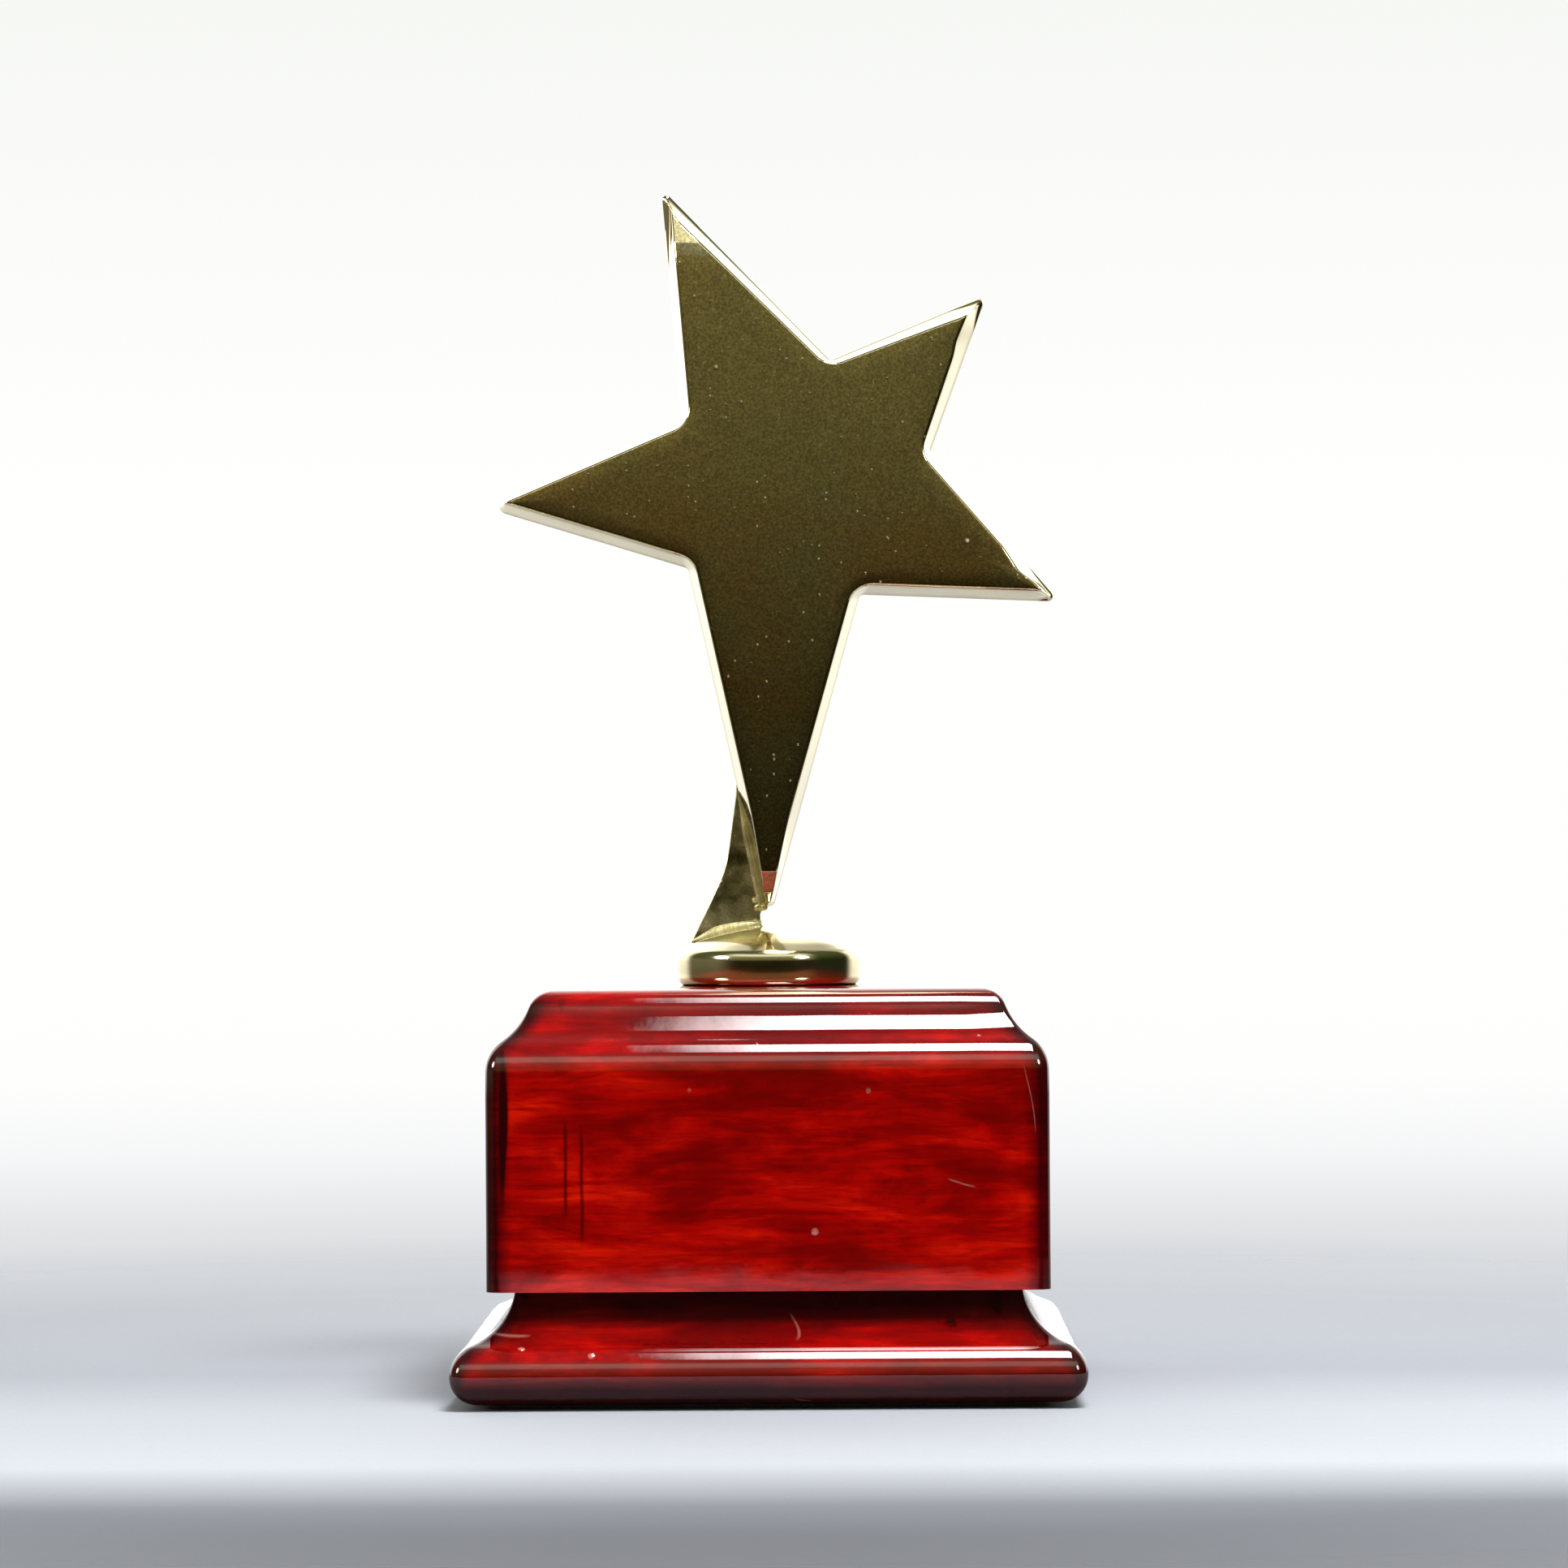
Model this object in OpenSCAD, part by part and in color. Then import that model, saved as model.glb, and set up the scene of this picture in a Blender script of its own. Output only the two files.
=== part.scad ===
// Star trophy: a polished cast star on a blade-shaped stem, soldered to a domed
// disc and bolted through a two-step lacquered wooden base.
// The origin is the centre of the underside, +Z is up and the front faces -Y.

/* [Base] */
// Side of the square plinth, across its rounded lip
plinth_w = 100; // [94:1:112]
// Height of the plinth without the felt
plinth_h = 17.5; // [16:0.5:22]
// Radius of the upper round of the plinth's lip
lip_r = 5.2; // [4:0.1:5.6]
// Radius of the lower round of the plinth's lip
lip_low_r = 4.5; // [3.5:0.1:5]
// Slope where the plinth's lip turns into its cove
lip_turn = 70; // [62:1:72]
// Slope at the top of the plinth's cove
cove_turn = 8; // [4:1:20]
// Side of the square block that stands on the plinth
block_w = 88.8; // [84:0.2:92]
// Height of the block
block_h = 47.2; // [44:0.2:60]
// Height of the block's moulding, from the sides' end to the top face
ogee_h = 12.6; // [11.5:0.1:14]
// Radius of the block's moulded shoulder
shoulder_r = 5.8; // [4.5:0.1:6]
// Slope where the shoulder turns into the cove
shoulder_turn = 56; // [50:1:64]
// Radius of the round at the rim of the top face
rim_r = 4.1; // [3:0.1:4.4]
// Slope where the cove turns into the rim
rim_turn = 21; // [12:1:26]
// Radius of the base's upright corners
corner_r = 2.5; // [1.5:0.1:4]
// Thickness of the veneer with its lacquer
skin_t = 0.6; // [0.4:0.1:1]
// Thickness of the felt pad
felt_t = 0.8; // [0.5:0.1:1.5]

/* [Disc] */
// Diameter of the metal disc
disc_d = 30.4; // [28:0.1:34]
// Height of the disc's side
disc_side_h = 5.9; // [4.5:0.1:8]
// Height of the dome's crown above the block
disc_h = 9.5; // [9:0.1:12]
// Radius of the dome
dome_r = 31; // [28:0.5:36]
// Radius of the disc's two soft edges
disc_edge_r = 1.2; // [0.6:0.1:1.8]

/* [Star] */
// Thickness of the star
star_t = 7.5; // [5:0.1:9]
// How far the star's sides lean in from back to front
star_draft = 1.3; // [0.6:0.1:1.6]
// Height of the narrow bevel along the front edge
star_bevel = 0.45; // [0.2:0.05:0.8]
// Height of the lowest point of the star above the block
star_gap = 12.8; // [12:0.1:16]

/* [Stem] */
// Thickness of the stem blade
blade_t = 6; // [4:0.1:7]
// Radius of the solder beads
bead_r = 1.3; // [0.8:0.1:1.6]

/* [Fixings] */
// Thread diameter of the stud
stud_d = 6; // [5:1:6]
// Depth of the stud's end in the disc
stud_in_disc = 6.3; // [4:0.1:6.5]
// Diameter of the recess for the nut
recess_d = 22; // [20:1:26]
// Depth of the recess for the nut
recess_h = 9; // [9:0.5:11]
// Distance of the plinth screws from the centre, along X and along Y
screw_at = 26; // [22:1:28]
// Length of the plinth screws
screw_len = 30; // [24:1:31]
// Distance of the dowels from the centre, along X
dowel_at = 27; // [22:1:30]

/* [Hidden] */
$fn = 96;

gold = "#c9b56c";
wood_red = "#a30f0b";
fibreboard = "#a98b62";
steel = "#b9bcc0";

// Levels, from the table up
plinth_z = felt_t;
block_z = plinth_z + plinth_h;
top_z = block_z + block_h;
board_h = (block_h - skin_t) / 3;
recess_z = plinth_z + recess_h;
stud_z = 1.8;
stud_len = top_z + stud_in_disc - stud_z;
apart = 0.05;
cut = 1;
arc_steps = 6;

// Fixings
stud_r = stud_d / 2 - apart;
thread_r = stud_d / 2;
clearance_r = stud_d / 2 + 0.3;
hole_over = 0.6;
washer_t = 1.6;
washer_d = 18;
spring_d = 11.8;
spring_gap = 1.2;
nut_across = stud_d == 6 ? 10 : 8;
nut_h = 5;
screw_d = 3.6;
screw_head_d = 7.4;
screw_head_h = 2.4;
screw_z = plinth_z + 0.6;
dowel_d = 8;
dowel_len = 22;
pin_d = 3;
pin_len = 10;
pin_in_disc = 4;
pin_x = 9;

// The star's widest outline, clockwise from its top tip as [x, z from its lowest
// corner, corner radius]. Tips and notches alternate.
star_corners = [
    [-16.9, 121.3, 0.7], [10.7, 92.7, 0.8],
    [36.5, 103.3, 0.8], [26.9, 77.3, 0.8],
    [48.2, 52.8, 0.9], [15.3, 54.2, 0.8],
    [-0.1, 0, 1], [-12.9, 58.7, 0.8],
    [-46.8, 69.1, 1.5], [-13.7, 83, 0.8]];
corner_n = len(star_corners);
corner_steps = 6;
least_corner_r = 0.25;
low_tip = star_corners[6];
// Half the angle of the lowest tip. A sharp corner of half angle a, rounded to r, loses
// r / sin(a) - r of its length.
low_tip_half = acos(unit(flat_corner(5) - flat_corner(6)) * unit(flat_corner(7) - flat_corner(6))) / 2;
// A point that every part of the star's outline can be seen from
star_heart = [6, 72];
star_z = top_z + star_gap - low_tip[2] * (1 / sin(low_tip_half) - 1);

// The stem blade's outline as [x, z above the block]
blade_left_low = [-12.7, 7];
blade_left_bend = [-6.9, 19.2];
blade_left_high = [-5.3, 31];
blade_crown = [-2.4, 62];
blade_bend_r = 22;

// An S-shaped edge as [distance in, height], t under the face: a convex round low_r up to
// the slope turn, a cove to the slope end, and a round rim_r from there to level if there is one
function cove_radius(low_r, turn, end, rim_r, h) =
    (h - low_r * sin(turn) - rim_r * (1 - sin(end))) / (sin(turn) - sin(end));

function s_edge(low_r, turn, end, rim_r, h, t) =
    let (c = cove_radius(low_r, turn, end, rim_r, h),
         cove = [low_r - (low_r + c) * cos(turn), (low_r + c) * sin(turn)],
         rim = cove + (c + rim_r) * [cos(end), -sin(end)])
    concat(
        [for (i = [0 : arc_steps]) let (a = turn * i / arc_steps)
            [low_r, 0] + (low_r - t) * [-cos(a), sin(a)]],
        [for (i = [1 : arc_steps]) let (a = turn + (end - turn) * i / arc_steps)
            cove + (c + t) * [cos(a), -sin(a)]],
        rim_r == 0 ? [] :
            [for (i = [1 : arc_steps]) let (a = end + (90 - end) * i / arc_steps)
                rim + (rim_r - t) * [-cos(a), sin(a)]]);

// Quarter round from level to upright
function low_curve(r, t) =
    [for (i = [0 : arc_steps - 1]) let (a = 90 * (1 - i / arc_steps))
        [r, 0] - (r - t) * [cos(a), sin(a)]];

// Half profile [distance in, height] as a full outline of width w, raised by z
function full_outline(half, w, z) = concat(
    [for (p = half) [w / 2 - p[0], p[1] + z]],
    [for (i = [len(half) - 1 : -1 : 0]) [half[i][0] - w / 2, half[i][1] + z]]);

// Outlines t under the face. Those under the face run on past their open ends.
function block_outline(t) = full_outline(
    concat([[t, ogee_h - block_h - (t > 0 ? cut : 0)]],
        s_edge(shoulder_r, shoulder_turn, rim_turn, rim_r, ogee_h, t)),
    block_w, top_z - ogee_h);

function plinth_outline(t) =
    let (h = plinth_h - lip_low_r,
         edge = s_edge(lip_r, lip_turn, cove_turn, 0, h, t),
         neck = edge[len(edge) - 1])
    full_outline(concat(
        t > 0 ? [[lip_low_r, -lip_low_r - cut]] : [],
        low_curve(lip_low_r, t), edge,
        t > 0 ? [[neck[0], h + cut]] : []),
        plinth_w, plinth_z + lip_low_r);

function unit(v) = v / norm(v);
function left_of(v) = [-v[1], v[0]];
function flat_corner(i) = let (c = star_corners[i % corner_n]) [c[0], c[1]];

// One rounded corner of the star's outline, moved in by d
function star_corner(i, d) =
    let (p = flat_corner(i),
         from = unit(p - flat_corner(i + corner_n - 1)),
         to = unit(flat_corner(i + 1) - p),
         tip = i % 2 == 0,
         full_r = star_corners[i][2],
         r = tip ? max(full_r - d, least_corner_r) : full_r + d,
         half_turn = acos(from * to) / 2,
         // the corner of the outline moved in by d
         sharp = p - (left_of(from) + left_of(to)) * d / (1 + from * to),
         side = tip ? 1 : -1,
         bisector = unit(left_of(from) + left_of(to)) * side,
         centre = sharp - bisector * r / cos(half_turn),
         middle = atan2(bisector[1], bisector[0]))
    [for (k = [0 : corner_steps])
        let (a = middle + side * half_turn * (1 - 2 * k / corner_steps))
        centre + r * [cos(a), sin(a)]];

function star_ring(d, y) =
    [for (i = [0 : corner_n - 1]) for (p = star_corner(i, d)) [p[0], y, p[1] + star_z]];

// A closed solid through rings of equal length, each end capped by a fan from heart
module ring_solid(rings, heart) {
    count = len(rings[0]);
    last = len(rings) - 1;
    ends = [for (ring = [rings[0], rings[last]]) [heart[0], ring[0][1], heart[1]]];
    points = concat([for (ring = rings) for (p = ring) p], ends);
    hub = len(rings) * count;
    sides = [for (k = [0 : last - 1]) for (i = [0 : count - 1])
        let (j = (i + 1) % count)
        [k * count + i, k * count + j, (k + 1) * count + j, (k + 1) * count + i]];
    caps = [for (i = [0 : count - 1]) let (j = (i + 1) % count)
        each [[j, i, hub], [last * count + i, last * count + j, hub + 1]]];
    polyhedron(points, concat(sides, caps), convexity = 6);
}

module rounded_square(w, r) {
    square([w, w - 2 * r], center = true);
    square([w - 2 * r, w], center = true);
    for (x = [-1, 1], y = [-1, 1]) translate([x, y] * (w / 2 - r)) circle(r);
}

// A square solid with a moulded edge, mitred at its corners, t under its face
module moulded(outline, w, t) {
    intersection() {
        rotate([90, 0, 0]) linear_extrude(w, center = true) polygon(outline);
        rotate([90, 0, 90]) linear_extrude(w, center = true) polygon(outline);
        translate([0, 0, -cut]) linear_extrude(top_z + 2 * cut)
            rounded_square(w - 2 * t, corner_r - t);
    }
}

module block_solid(t) {
    moulded(block_outline(t), block_w, t);
}

module plinth_solid(t) {
    moulded(plinth_outline(t), plinth_w, t);
}

module slab(z, h) {
    translate([-plinth_w / 2, -plinth_w / 2, z]) cube([plinth_w, plinth_w, h]);
}

module at_corners(d) {
    for (x = [-1, 1], y = [-1, 1]) translate([x * d, y * d, 0]) children();
}

module at_sides(d) {
    for (x = [-1, 1]) translate([x * d, 0, 0]) children();
}

module stud_hole() {
    translate([0, 0, -cut]) cylinder(h = top_z + 2 * cut, r = clearance_r);
}

module pin_hole() {
    translate([pin_x, 0, top_z - pin_len + pin_in_disc - apart])
        cylinder(h = pin_len, r = pin_d / 2 + apart);
}

module dowel_holes() {
    at_sides(dowel_at) translate([0, 0, block_z - dowel_len / 2 - apart])
        cylinder(h = dowel_len + 2 * apart, r = dowel_d / 2 + apart);
}

module screw_holes() {
    at_corners(screw_at) {
        translate([0, 0, -cut]) cylinder(h = screw_z + screw_len + cut + hole_over, r = screw_d / 2 + apart);
        translate([0, 0, screw_z]) cylinder(h = screw_head_h + apart,
            r1 = screw_head_d / 2 + apart, r2 = screw_d / 2 + apart);
        translate([0, 0, -cut]) cylinder(h = screw_z + cut, r = screw_head_d / 2 + apart);
    }
}

module block_board(level) {
    color(fibreboard) difference() {
        intersection() {
            block_solid(skin_t);
            slab(block_z + level * board_h, board_h);
        }
        stud_hole();
        if (level == 0) {
            dowel_holes();
            screw_holes();
        }
        if (level == 2) pin_hole();
    }
}

module dome_ball() {
    translate([0, 0, top_z + disc_h - dome_r]) sphere(dome_r, $fn = 160);
}

// Points of the blade's left edge, from the foot up, through a bend of radius blade_bend_r
function blade_left() =
    let (low = unit(blade_left_bend - blade_left_low),
         high = unit(blade_left_high - blade_left_bend),
         half_turn = acos(low * high) / 2,
         reach = blade_bend_r * tan(half_turn),
         start = blade_left_bend - low * reach,
         centre = start + left_of(low) * blade_bend_r,
         first = atan2(start[1] - centre[1], start[0] - centre[0]))
    concat([blade_left_low],
        [for (i = [0 : arc_steps]) let (a = first + 2 * half_turn * i / arc_steps)
            centre + blade_bend_r * [cos(a), sin(a)]],
        [blade_left_high]);

module blade_outline() {
    polygon(concat(blade_left(), [
        blade_crown + [-1.4, -2], blade_crown, blade_crown + [1.8, 0], blade_crown + [3.2, -2],
        [3.2, 31], [0.2, 16], [-1.4, 11.5], [-1.4, 5], [-12.7, 5]]));
}

module star_plate() {
    back_bevel = 0.45;
    color(gold) ring_solid([
        star_ring(back_bevel, 0),
        star_ring(0, -back_bevel),
        star_ring(star_draft, -star_t + star_bevel),
        star_ring(star_draft + star_bevel, -star_t)],
        star_heart + [0, star_z]);
}

module stem_blade() {
    color(gold) difference() {
        translate([0, blade_t, top_z]) rotate([90, 0, 0]) linear_extrude(blade_t) blade_outline();
        dome_ball();
    }
}

// Quarter-round bead in the corner between the star's lower left edge and the blade
module star_solder_bead() {
    run = flat_corner(7) - flat_corner(6);
    lean = atan2(-run[0], run[1]);
    first = 4.4;
    length = 16.5;
    color(gold) translate([low_tip[0], 0, star_z + low_tip[1]]) rotate([0, -lean, 0])
        translate([0, 0, first]) linear_extrude(length) intersection() {
            circle(bead_r * 0.7);
            translate([-bead_r, -bead_r]) square(bead_r);
        }
}

// Bead along the foot of the blade, on its front and on its back
module foot_solder_bead() {
    ball_z = top_z + disc_h - dome_r;
    reach = asin(12.2 / dome_r);
    start = asin(1.6 / dome_r);
    color(gold) difference() {
        for (y = [0, blade_t])
            translate([0, y, ball_z]) rotate([90, 0, 0]) rotate([0, 0, 90 + start])
                rotate_extrude(angle = reach - start, $fn = 160)
                    translate([dome_r, 0]) circle(bead_r, $fn = 32);
        dome_ball();
        translate([-disc_d, 0, top_z]) cube([2 * disc_d, blade_t, disc_d]);
    }
}

module pedestal_disc() {
    r = disc_d / 2;
    e = disc_edge_r;
    color(gold) difference() {
        union() {
            translate([0, 0, top_z]) rotate_extrude() {
                square([r - e, disc_side_h]);
                translate([0, e]) square([r, disc_side_h - 2 * e]);
                for (z = [e, disc_side_h - e]) translate([r - e, z])
                    intersection() {
                        circle(e, $fn = 32);
                        translate([-e / 2, -e]) square(2 * e);
                    }
            }
            intersection() {
                dome_ball();
                translate([0, 0, top_z + disc_side_h / 2]) cylinder(h = disc_h, r = r - e);
            }
        }
        translate([0, 0, top_z - cut]) cylinder(h = stud_in_disc + hole_over + cut, r = thread_r);
        translate([pin_x, 0, top_z - cut]) cylinder(h = pin_in_disc + cut, r = pin_d / 2 + apart);
    }
}

module locating_pin() {
    color(steel) translate([pin_x, 0, top_z - pin_len + pin_in_disc])
        cylinder(h = pin_len - apart, r = pin_d / 2);
}

module mounting_stud() {
    bevel = 0.6;
    color(steel) translate([0, 0, stud_z]) {
        cylinder(h = bevel, r1 = stud_r - bevel, r2 = stud_r);
        translate([0, 0, bevel]) cylinder(h = stud_len - 2 * bevel, r = stud_r);
        translate([0, 0, stud_len - bevel]) cylinder(h = bevel, r1 = stud_r, r2 = stud_r - bevel);
    }
}

module block_top_board() {
    block_board(2);
}

module block_middle_board() {
    block_board(1);
}

module block_bottom_board() {
    block_board(0);
}

module block_veneer() {
    color(wood_red) difference() {
        block_solid(0);
        block_solid(skin_t);
        stud_hole();
        pin_hole();
    }
}

module plinth_board() {
    color(fibreboard) difference() {
        intersection() {
            plinth_solid(skin_t);
            slab(plinth_z, plinth_h);
        }
        stud_hole();
        translate([0, 0, -cut]) cylinder(h = recess_z + cut, d = recess_d);
        dowel_holes();
        screw_holes();
    }
}

module plinth_veneer() {
    color(wood_red) difference() {
        plinth_solid(0);
        plinth_solid(skin_t);
    }
}

module wood_dowels() {
    color("#d8bf8f") at_sides(dowel_at) translate([0, 0, block_z - dowel_len / 2])
        cylinder(h = dowel_len, d = dowel_d);
}

module plinth_screws() {
    tip = 3;
    color(steel) at_corners(screw_at) translate([0, 0, screw_z]) {
        cylinder(h = screw_head_h, d1 = screw_head_d, d2 = screw_d);
        cylinder(h = screw_len - tip, d = screw_d);
        translate([0, 0, screw_len - tip]) cylinder(h = tip, d1 = screw_d, d2 = 0.8);
    }
}

module flat_washer() {
    color(steel) translate([0, 0, recess_z - washer_t]) difference() {
        cylinder(h = washer_t, d = washer_d);
        translate([0, 0, -cut]) cylinder(h = washer_t + 2 * cut, r = clearance_r);
    }
}

module spring_washer() {
    color(steel) translate([0, 0, recess_z - 2 * washer_t]) difference() {
        cylinder(h = washer_t, d = spring_d);
        translate([0, 0, -cut]) cylinder(h = washer_t + 2 * cut, r = clearance_r);
        rotate([25, 0, 0]) translate([0, -spring_gap / 2, -washer_t])
            cube([spring_d, spring_gap, 4 * washer_t]);
    }
}

module hex_nut() {
    color(steel) translate([0, 0, recess_z - 2 * washer_t - nut_h]) difference() {
        cylinder(h = nut_h, d = nut_across / cos(30), $fn = 6);
        translate([0, 0, -cut]) cylinder(h = nut_h + 2 * cut, r = thread_r);
    }
}

module felt_pad() {
    color("#1c1b1d") linear_extrude(felt_t) rounded_square(plinth_w - 2 * lip_low_r - 2, corner_r);
}

star_plate();
stem_blade();
star_solder_bead();
foot_solder_bead();
pedestal_disc();
locating_pin();
mounting_stud();
block_top_board();
block_middle_board();
block_bottom_board();
block_veneer();
plinth_board();
plinth_veneer();
wood_dowels();
plinth_screws();
flat_washer();
spring_washer();
hex_nut();
felt_pad();
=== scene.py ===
"""Looks of the star trophy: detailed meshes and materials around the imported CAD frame.

Everything is in metres in the frame's axes: +Z is up and the front faces -Y.
"""

import math

import bmesh
import bpy
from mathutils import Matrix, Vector, noise


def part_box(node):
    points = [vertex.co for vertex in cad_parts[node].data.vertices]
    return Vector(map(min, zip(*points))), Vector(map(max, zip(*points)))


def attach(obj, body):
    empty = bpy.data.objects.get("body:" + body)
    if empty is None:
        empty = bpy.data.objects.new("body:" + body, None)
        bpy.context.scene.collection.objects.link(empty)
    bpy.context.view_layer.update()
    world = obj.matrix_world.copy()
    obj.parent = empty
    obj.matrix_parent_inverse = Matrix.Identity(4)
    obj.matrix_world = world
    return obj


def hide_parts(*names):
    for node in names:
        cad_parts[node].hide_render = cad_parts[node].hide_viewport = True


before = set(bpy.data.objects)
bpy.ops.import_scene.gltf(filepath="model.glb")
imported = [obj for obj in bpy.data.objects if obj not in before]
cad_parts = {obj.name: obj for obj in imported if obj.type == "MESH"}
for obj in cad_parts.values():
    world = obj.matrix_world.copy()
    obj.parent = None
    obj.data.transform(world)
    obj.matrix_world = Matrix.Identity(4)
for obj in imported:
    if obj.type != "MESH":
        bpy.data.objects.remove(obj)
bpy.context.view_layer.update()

MM = 0.001

# Driving sizes, from the frame
BLOCK_LO, BLOCK_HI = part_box("block_veneer")
PLINTH_LO, PLINTH_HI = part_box("plinth_veneer")
DISC_LO, DISC_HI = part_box("pedestal_disc")
STAR_LO, STAR_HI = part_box("star_plate")
BLADE_LO, BLADE_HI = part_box("stem_blade")
STUD_LO, STUD_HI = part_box("mounting_stud")
TOP_Z = BLOCK_HI.z

# The base's mouldings. The upright corners' radius falls with the inset, to a least value.
SKIN = 0.6 * MM
CORNER_R, CORNER_FALL, LEAST_CORNER_R = 2.5 * MM, 0.55, 0.9 * MM
STUD_HOLE_R = 3.3 * MM
OGEE_H = 12.6 * MM
SHOULDER_R, SHOULDER_TURN = 5.8 * MM, math.radians(56)
RIM_R, RIM_TURN = 4.1 * MM, math.radians(21)
LIP_R, LIP_TURN = 5.2 * MM, math.radians(70)
LIP_LOW_R = 4.5 * MM
COVE_TURN = math.radians(8)

# The disc
DOME_R = 31 * MM
DISC_SIDE_H = 5.9 * MM
DISC_EDGE_R = 1.1 * MM
DISC_LOW_H, DISC_TOP_H = 1.5 * MM, 1.8 * MM
DISC_BARREL = 0.08 * MM
DISC_BORE_R, BORE_SPARE = 3 * MM, 0.6 * MM

# The star's outline, clockwise from its top tip: x, height above the lowest sharp
# corner and corner radius, in millimetres. Tips and notches alternate. A notch is named
# after the tip before it, and a side after the corner that it starts from.
STAR_CORNERS = [
    (-16.9, 121.3, 0.7), (10.7, 92.7, 0.8),
    (36.5, 103.3, 0.8), (26.9, 77.3, 0.8),
    (48.2, 52.8, 0.9), (15.3, 54.2, 0.8),
    (-0.1, 0, 1), (-12.9, 58.7, 0.8),
    (-46.8, 69.1, 1.5), (-13.7, 83, 0.8)]
(TOP_TIP, TOP_NOTCH, UPPER_TIP, UPPER_NOTCH, RIGHT_TIP,
 RIGHT_NOTCH, LOW_TIP, LOW_NOTCH, LEFT_TIP, LEFT_NOTCH) = range(10)
STAR_HEART = (6 * MM, 72 * MM)
STAR_DRAFT = 1.38 * MM
STAR_ROUND = 0.45 * MM
BACK_ROUND = 0.3 * MM

GOLD_TINT = (0.71, 0.625, 0.39)
HAZY_TINT = (0.80, 0.74, 0.42)
COPPER_STAIN = (0.80, 0.47, 0.21)
PALE_DUST = (0.95, 0.92, 0.78)


# ---------------------------------------------------------------- mesh helpers


def piece(name, verts, faces, stands_for, material, sharp=35):
    """A mesh that rides on the trophy's one body and stands for CAD nodes."""
    mesh = bpy.data.meshes.new(name)
    mesh.from_pydata(verts, [], faces)
    mesh.validate()
    mesh.shade_smooth()
    mesh.set_sharp_from_angle(angle=math.radians(sharp))
    obj = bpy.data.objects.new(name, mesh)
    bpy.context.scene.collection.objects.link(obj)
    obj.data.materials.append(material)
    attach(obj, "root")
    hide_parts(*stands_for)
    return obj


def loft(rings, closed=False):
    """Quads between rings of equal length. A closed loft joins the last ring to the first."""
    count = len(rings[0])
    verts = [p for ring in rings for p in ring]
    pairs = [(k, k + 1) for k in range(len(rings) - 1)]
    if closed:
        pairs.append((len(rings) - 1, 0))
    faces = []
    for a, b in pairs:
        for i in range(count):
            j = (i + 1) % count
            faces.append((a * count + i, a * count + j, b * count + j, b * count + i))
    return verts, faces


def arc(centre, radius, start, end, steps, skip_first=False):
    """Points of an arc in a plane, angles in radians."""
    first = 1 if skip_first else 0
    return [
        (centre[0] + radius * math.cos(start + (end - start) * i / steps),
         centre[1] + radius * math.sin(start + (end - start) * i / steps))
        for i in range(first, steps + 1)]


def smooth_step(x):
    x = min(max(x, 0.0), 1.0)
    return x * x * (3 - 2 * x)


# ---------------------------------------------------------------- the base


def s_edge(low_r, turn, end, rim_r, h, t, steps=10):
    """An S-shaped edge as (distance in, height), t under the face: a convex round up to the
    slope turn, a cove to the slope end, and a round from there to level."""
    cove_r = (h - low_r * math.sin(turn) - rim_r * (1 - math.sin(end))) / (
        math.sin(turn) - math.sin(end))
    cove = (low_r - (low_r + cove_r) * math.cos(turn), (low_r + cove_r) * math.sin(turn))
    rim = (cove[0] + (cove_r + rim_r) * math.cos(end),
           cove[1] - (cove_r + rim_r) * math.sin(end))
    points = arc((low_r, 0), low_r - t, math.pi, math.pi - turn, steps)
    points += arc(cove, cove_r + t, -turn, -end, steps, skip_first=True)
    if rim_r:
        points += arc(rim, rim_r - t, math.pi - end, math.pi / 2, steps, skip_first=True)
    return points


def square_ring(half, r, z, side_steps=12, corner_steps=6):
    """A level rounded square, anticlockwise from its front left side."""
    ring = []
    inner = half - r
    for quarter in range(4):
        turn = quarter * math.pi / 2
        ca, sa = math.cos(turn), math.sin(turn)
        flat = [(-inner + 2 * inner * i / side_steps, -half) for i in range(side_steps)]
        flat += arc((inner, -inner), r, -math.pi / 2, 0, corner_steps)[:-1]
        ring += [Vector((x * ca - y * sa, x * sa + y * ca, z)) for x, y in flat]
    return ring


def circle_ring(radius, z, like):
    """A level circle with a point in the direction of each point of another ring."""
    return [Vector((p.x, p.y, 0)).normalized() * radius + Vector((0, 0, z)) for p in like]


def moulded_rings(profile, width, t):
    """Rounded square rings along a half profile of (distance in, height)."""
    def corner(inset):
        return max(CORNER_R - t - CORNER_FALL * (inset - t), LEAST_CORNER_R)
    return [square_ring(width / 2 - inset, corner(inset), z) for inset, z in profile]


def block_profile(t):
    z = BLOCK_HI.z - OGEE_H
    side = [(t, BLOCK_LO.z + (z - BLOCK_LO.z) * i / 8) for i in range(8)]
    edge = s_edge(SHOULDER_R, SHOULDER_TURN, RIM_TURN, RIM_R, OGEE_H, t)
    return side + [(inset, z + h) for inset, h in edge]


def block_skin():
    """The block's lacquered veneer: a shell with a hole for the stud under the disc."""
    width = BLOCK_HI.x - BLOCK_LO.x
    outer = moulded_rings(block_profile(0), width, 0)
    inner = moulded_rings(block_profile(SKIN), width, SKIN)
    middle_r, under = 16 * MM, TOP_Z - SKIN
    level = [(middle_r, TOP_Z), (STUD_HOLE_R, TOP_Z), (STUD_HOLE_R, under), (middle_r, under)]
    rings = outer + [circle_ring(r, z, outer[-1]) for r, z in level] + inner[::-1]
    verts, faces = loft(rings, closed=True)
    return piece("block_lacquered_veneer", verts, faces, ["block_veneer"],
                 MATERIALS["lacquer"], sharp=50)


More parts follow.
